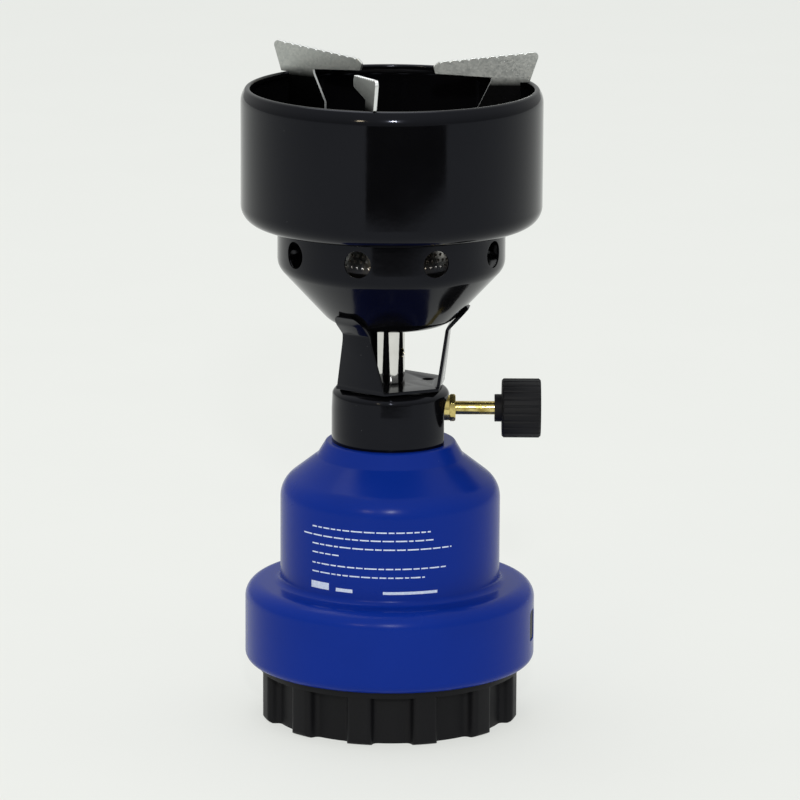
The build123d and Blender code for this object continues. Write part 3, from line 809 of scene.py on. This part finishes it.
# ---- Burner bowl ---------------------------------------------------------------------------
# Deep-drawn steel bowl in the same black enamel, with nine round air holes punched under its
# mouth. Its in-turned flange carries the windshield.
bowl_low, bowl_high = span("burner_bowl")
bowl_radius, bowl_mouth, cone_slope, cone_foot = bowl_high.x, 40.0, 1.079, 24.6
cone_top = bowl_low.z + cone_slope * (bowl_radius - cone_foot)
bowl_line = bent([(tube_radius, bowl_low.z), (cone_foot, bowl_low.z), (bowl_radius, cone_top),
                  (bowl_radius, bowl_high.z), (bowl_mouth, bowl_high.z)], [15.0, 8.0, 1.2], 5)
bowl_holes, hole_radius, hole_height, hole_steps = 9, 5.75, 206.5, 10
bowl_line, hole_row = with_rows(bowl_line, hole_height - 7.3, hole_height + 7.3, hole_steps)
hole_loop = rounded_loop(2 * hole_radius, 2 * hole_radius, hole_radius, (hole_steps,) * 4)
air_opening = (hole_row, hole_steps, hole_steps, hole_loop, hole_height)
burner_bowl = sheet_slice("burner_bowl", bowl_line, 22, 360 / bowl_holes, air_opening)
ring_up(burner_bowl, bowl_holes, 23.0, black_enamel)
wall(burner_bowl, 0.8)
soften(burner_bowl, 0.18, 2, 50)
settle(burner_bowl)
hand_over(burner_bowl, "housing", "black_paint", "burner_bowl")

# ---- Burner head, pan, nut and jet ---------------------------------------------------------
# The head is a cap of perforated stainless sheet that closes a pressed steel pan on the end of the
# mixing tube. A nut under the pan holds the bowl, and the brass jet is screwed into the spigot.

# Stainless sheet that has been lit a few times: silver with straw and blue temper colours in soft clouds.
heated_steel, tree, spot = start_finish("perforated_stainless_with_heat_tint")
cloud = add_node(tree, "ShaderNodeTexNoise", {"Vector": spot, "Scale": per(14), "Detail": 4.0})
tint = add_node(tree, "ShaderNodeValToRGB", {"Fac": cloud.outputs[0]})
tint.color_ramp.elements[0].position = 0.35
tint.color_ramp.elements[0].color = hex_colour("#C4C4C2")
tint.color_ramp.elements[1].position = 0.75
tint.color_ramp.elements[1].color = hex_colour("#A89A86")
fine = add_node(tree, "ShaderNodeTexNoise", {"Vector": spot, "Scale": per(0.6), "Detail": 3.0})
relief = add_node(tree, "ShaderNodeBump", {"Height": fine.outputs[0], "Strength": 0.2, "Distance": 0.00008})
shade = add_node(tree, "ShaderNodeBsdfPrincipled", {
    "Base Color": tint.outputs[0],
    "Metallic": 1.0,
    "Roughness": 0.3,
    "Normal": relief.outputs[0],
})
add_node(tree, "ShaderNodeOutputMaterial", {"Surface": shade.outputs[0]})

head_low, head_high = span("burner_head")
head_radius, head_slope_radius, port = head_high.x, 22.0, 0.8
head_slices, slice_steps = 18, 16
slice_sweep = 360 / head_slices
head_line = bent([(head_radius, head_low.z), (head_radius, head_high.z - 2.4),
                  (head_slope_radius, head_high.z), (0, head_high.z)], [2.5, 6.0], 10)


def along_line(line, distance):
    """Point of a section so many millimetres along it."""
    for first, last in zip(line, line[1:]):
        length = (last - first).length
        if distance <= length:
            return first.lerp(last, distance / length)
        distance -= length
    return line[-1]


def port_cells(points, faces, line, start, end, cells, per_slice, shift=0.0):
    """One row of sheet cells, each with a round port, between two distances along the section."""
    steps = slice_steps // per_slice
    width = math.radians(slice_sweep / per_slice)
    middle_point = along_line(line, (start + end) / 2)
    for cell in range(cells):
        centre = (cell + 0.5 + shift) * width - math.radians(slice_sweep) / 2
        side = [(-1 + 2 * k / steps, -1) for k in range(steps)] + [(1, -1), (1, 0)]
        edge = side + [(-x, -y) for x, y in side]
        counts = (steps, 2, steps, 2)
        loop = rounded_loop(2 * port, 2 * port, port, counts)
        rims = []
        for share in (0.0, 1.0):
            rim = []
            for (x, y), (hx, hy) in zip(edge, loop):
                turn0, way0 = centre + x * width / 2, (start + end) / 2 + y * (end - start) / 2
                turn1, way1 = centre + hx / middle_point.x, (start + end) / 2 + hy
                turn, way_along = turn0 + (turn1 - turn0) * share, way0 + (way1 - way0) * share
                spot = along_line(line, way_along)
                rim.append(len(points))
                points.append((spot.x * math.sin(turn), -spot.x * math.cos(turn), spot.y))
            rims.append(rim)
        outer, inner = rims
        faces += loop_faces(outer, inner)


def plain_band(points, faces, line, stops):
    """Unpierced part of the slice between the given distances along the section."""
    for start, end in zip(stops, stops[1:]):
        for k in range(slice_steps):
            turns = [math.radians(slice_sweep * ((k + n) / slice_steps - 0.5)) for n in (0, 1)]
            corners = [(along_line(line, way_along), turn) for way_along, turn in
                       ((start, turns[0]), (start, turns[1]), (end, turns[1]), (end, turns[0]))]
            faces.append(tuple(range(len(points), len(points) + 4)))
            points += [(at.x * math.sin(turn), -at.x * math.cos(turn), at.y) for at, turn in corners]


points, faces = [], []
side_rows, row_height, side_start = 4, 2.55, 1.2
plain_band(points, faces, head_line, [0, side_start])
for row in range(side_rows):
    start = side_start + row * row_height
    port_cells(points, faces, head_line, start, start + row_height, 4, 4, 0.5 * (row % 2))
side_end = side_start + side_rows * row_height
whole = sum((b - a).length for a, b in zip(head_line, head_line[1:]))
top_start = whole - 26.0
plain_band(points, faces, head_line, [side_end + (top_start - side_end) * k / 6 for k in range(7)])
top_row = 3.4
for row in range(4):
    start = top_start + top_row * row
    port_cells(points, faces, head_line, start, start + top_row, 2, 2, 0.5 * (row % 2))
inner_start = top_start + top_row * 4
for row in range(2):
    start = inner_start + top_row * row
    port_cells(points, faces, head_line, start, start + top_row, 1, 1, 0.5 * (row % 2))
plain_band(points, faces, head_line, [inner_start + 2 * top_row, whole])
burner_head = new_piece("burner_head", points, faces)
ring_up(burner_head, head_slices, 0, heated_steel, 0.01)
wall(burner_head, 0.6)
settle(burner_head, 40)
hand_over(burner_head, "housing", "stainless", "burner_head")

pan_low, pan_high = span("burner_pan")
pan_rim = pan_high.x
pan_line = bent([(tube_radius, pan_low.z), (13.0, pan_low.z), (pan_rim, 198.0), (pan_rim, pan_high.z)],
                [2.0, 2.5], 10)
burner_pan = sheet_slice("burner_pan", pan_line, 16, 45)
ring_up(burner_pan, 8, 0, heated_steel, 0.01)
wall(burner_pan, 0.6)
soften(burner_pan, 0.12, 2, 50)
settle(burner_pan)
hand_over(burner_pan, "housing", "bright_steel", "burner_pan")
refined("burner_nut", "burner_nut", zinc_plate, "housing", "bright_steel", 0.2)
refined("gas_jet", "gas_jet", turned_brass, "housing", "brass", 0.1)

# ---- Windshield ----------------------------------------------------------------------------
# A deep round pan in black enamel, drawn from one sheet, with its rim curled in and its floor open
# over the bowl. Three rivets hold it down.
drum_low, drum_high = span("windshield")
drum_radius, lip_radius = drum_high.x, 60.2
drum_line = bent([
    (bowl_mouth, drum_low.z),
    (drum_radius, drum_low.z),
    (drum_radius, drum_high.z - 3.8),
    (drum_radius - 2.0, drum_high.z),
    (lip_radius, drum_high.z),
    (lip_radius, drum_high.z - 2.2),
], [8.0, 9.0, 1.6, 0.9], 6)
windshield = sheet_slice("windshield", drum_line, 24, 45)
ring_up(windshield, 8, 0, black_enamel)
wall(windshield, 0.7)
soften(windshield, 0.15, 2, 50)
settle(windshield)
hand_over(windshield, "housing", "black_paint", "windshield")

# ---- Pot supports --------------------------------------------------------------------------
# Three blades of galvanised sheet with a serrated top edge, each folded to a foot that swivels on
# a shouldered rivet, over a thin washer.

# Galvanised sheet: dull grey metal broken into small patches of zinc, and painted near-black below the
# rim, as painted shade and painted reflection of the dark inside of the windshield.
galvanised, tree, spot = start_finish("galvanised_sheet")
spangle = add_node(tree, "ShaderNodeTexVoronoi", {
    "Vector": spot, "Scale": per(0.9), "Randomness": 1.0})
grey = add_node(tree, "ShaderNodeSeparateColor", {"Color": spangle.outputs["Color"]})
cloud = add_node(tree, "ShaderNodeTexNoise", {"Vector": spot, "Scale": per(0.7), "Detail": 4.0})
patch = add_node(tree, "ShaderNodeMix", {
    "Factor": 0.55, "A": grey.outputs[0], "B": cloud.outputs[0]}, data_type="FLOAT")
height = add_node(tree, "ShaderNodeSeparateXYZ", {"Vector": spot})
rim_height = drum_high.z / 1000
# Painted shade: below the rim the colour goes near-black, for the shade and dark reflections inside the
# windshield.
painted_shade_below_rim = add_node(tree, "ShaderNodeMapRange", {
    "Value": height.outputs["Z"], "From Min": rim_height - 0.001, "From Max": rim_height + 0.003})
zinc = blend_colours(tree, "#A2A6A4", "#C6C8C4", patch.outputs[0])
zinc_with_painted_shade = add_node(tree, "ShaderNodeMix", {
    0: painted_shade_below_rim.outputs[0], 6: hex_colour("#121213"), 7: zinc}, data_type="RGBA")
gloss = add_node(tree, "ShaderNodeMapRange", {
    "Value": patch.outputs[0], "From Min": 0.2, "From Max": 0.8, "To Min": 0.38, "To Max": 0.48})
relief = add_node(tree, "ShaderNodeBump", {"Height": patch.outputs[0], "Strength": 0.1, "Distance": 0.0001})
shade = add_node(tree, "ShaderNodeBsdfPrincipled", {
    "Base Color": zinc_with_painted_shade.outputs[2],
    "Metallic": 1.0,
    "Roughness": gloss.outputs[0],
    "Normal": relief.outputs[0],
})
add_node(tree, "ShaderNodeOutputMaterial", {"Surface": shade.outputs[0]})

# Sheared edge: the bare cut round a blade and its teeth, with punch marks; it is lighter than the faces as
# bare metal and also as a painted highlight of the light it catches from above.
cut_edge_finish_with_painted_highlight, tree, spot = start_finish("cut_edge_of_zinc_sheet_with_painted_highlight")
marks = add_node(tree, "ShaderNodeTexNoise", {"Vector": spot, "Scale": per(0.4), "Detail": 2.0})
relief = add_node(tree, "ShaderNodeBump", {
    "Height": marks.outputs[0], "Strength": 0.2, "Distance": 0.00005})
shade = add_node(tree, "ShaderNodeBsdfPrincipled", {
    "Base Color": blend_colours(tree, "#D6D9DA", "#F2F3F2", marks.outputs[0]),
    "Metallic": 1.0,
    "Roughness": 0.36,
    "Normal": relief.outputs[0],
})
add_node(tree, "ShaderNodeOutputMaterial", {"Surface": shade.outputs[0]})

for number in (1, 2, 3):
    node = f"pot_support_{number}"
    blade = refined(node, node, galvanised, f"support_{number}", "galvanised", 0.2, 40, 15)
    blade.data.materials.append(cut_edge_finish_with_painted_highlight)
    side = max(blade.data.polygons, key=lambda face: face.area).normal.copy()
    foot_top = span(node)[0].z / 1000 + 0.003
    for face in blade.data.polygons:
        if abs(face.normal.dot(side)) < 0.5 and face.center.z > foot_top:
            face.material_index = 1

rivet_low, rivet_high = span("pivot_rivets")
pivot_circle, pivot_bearing = 44.5, -6.75
shank_radius, head_half, head_height = 2.0, 4.0, 1.6
head_start = rivet_high.z - head_height
tail_radius, tail_top = 2.8, rivet_low.z + 1.4
rivet_line = bent([
    (0, rivet_low.z),
    (tail_radius, rivet_low.z),
    (tail_radius, tail_top),
    (shank_radius, tail_top),
    (shank_radius, head_start),
    (head_half, head_start),
    (head_half, rivet_high.z),
    (0, rivet_high.z),
], [0.4, 0.2, 0.01, 0.01, 0.2, 1.2], 12)
rivet = turned_slice("rivet", rivet_line, 24, 360)
to_pivot = Matrix.Translation((0, -pivot_circle / 1000, 0))
rivet.data.transform(to_pivot)
rivet.name = "pivot_rivets"
ring_up(rivet, 3, pivot_bearing, zinc_plate, 0.005)
settle(rivet)
hand_over(rivet, "housing", "bright_steel", "pivot_rivets")

washer_low, washer_high = span("pivot_washers")
washer_radius = 4.5
washer_line = [(shank_radius, washer_low.z), (washer_radius, washer_low.z), (washer_radius, washer_high.z),
               (shank_radius, washer_high.z), (shank_radius, washer_low.z)]
washers = turned_slice("pivot_washers", washer_line, 32, 360)
washers.data.transform(to_pivot)
ring_up(washers, 3, pivot_bearing, galvanised, 0.005)
soften(washers, 0.08, 1)
settle(washers)
hand_over(washers, "housing", "galvanised", "pivot_washers")

# ---- Pieces inside -------------------------------------------------------------------------
# The cartridge, its seal and needle, the filter, the clamp nut and the spindle's packing are out of
# sight inside the shell and the valve, and keep their CAD shape with a proper finish.

# Tinplate: the can's thin steel, bright with a faint rolled grain.
tinplate, tree, spot = start_finish("rolled_tinplate")
rolled = add_node(tree, "ShaderNodeMapping", {"Vector": spot, "Scale": (1.0, 1.0, 0.05)})
roll_lines = add_node(tree, "ShaderNodeTexNoise", {
    "Vector": rolled.outputs[0], "Scale": per(0.8), "Detail": 3.0})
shade = add_node(tree, "ShaderNodeBsdfPrincipled", {
    "Base Color": blend_colours(tree, "#B9BCBE", "#D3D4D2", roll_lines.outputs[0]),
    "Metallic": 1.0,
    "Roughness": 0.25,
})
add_node(tree, "ShaderNodeOutputMaterial", {"Surface": shade.outputs[0]})

# Nitrile rubber: moulded, dull black with a trace of talc.
nitrile, tree, spot = start_finish("moulded_nitrile_rubber")
talc = add_node(tree, "ShaderNodeTexNoise", {"Vector": spot, "Scale": per(1.5), "Detail": 4.0})
shade = add_node(tree, "ShaderNodeBsdfPrincipled", {
    "Base Color": blend_colours(tree, "#141414", "#262624", talc.outputs[0]),
    "Roughness": 0.7,
})
add_node(tree, "ShaderNodeOutputMaterial", {"Surface": shade.outputs[0]})

# Sintered bronze: small brown metal grains pressed together.
sintered, tree, spot = start_finish("sintered_bronze")
grains = add_node(tree, "ShaderNodeTexVoronoi", {"Vector": spot, "Scale": per(0.25)})
relief = add_node(tree, "ShaderNodeBump", {
    "Height": grains.outputs["Distance"], "Strength": 0.6, "Distance": 0.0001})
shade = add_node(tree, "ShaderNodeBsdfPrincipled", {
    "Base Color": blend_colours(tree, "#B98A55", "#6E4C2A", grains.outputs["Distance"]),
    "Metallic": 1.0,
    "Roughness": 0.5,
    "Normal": relief.outputs[0],
})
add_node(tree, "ShaderNodeOutputMaterial", {"Surface": shade.outputs[0]})

inside = {
    "gas_cartridge": tinplate,
    "cartridge_seal": nitrile,
    "piercing_needle": zinc_plate,
    "gas_filter": sintered,
    "valve_washer": zinc_plate,
    "valve_clamp_nut": zinc_plate,
    "spindle_packing": nitrile,
    "spindle_o_ring": nitrile,
}
for node, finish in inside.items():
    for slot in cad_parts[node].material_slots:
        slot.material = finish
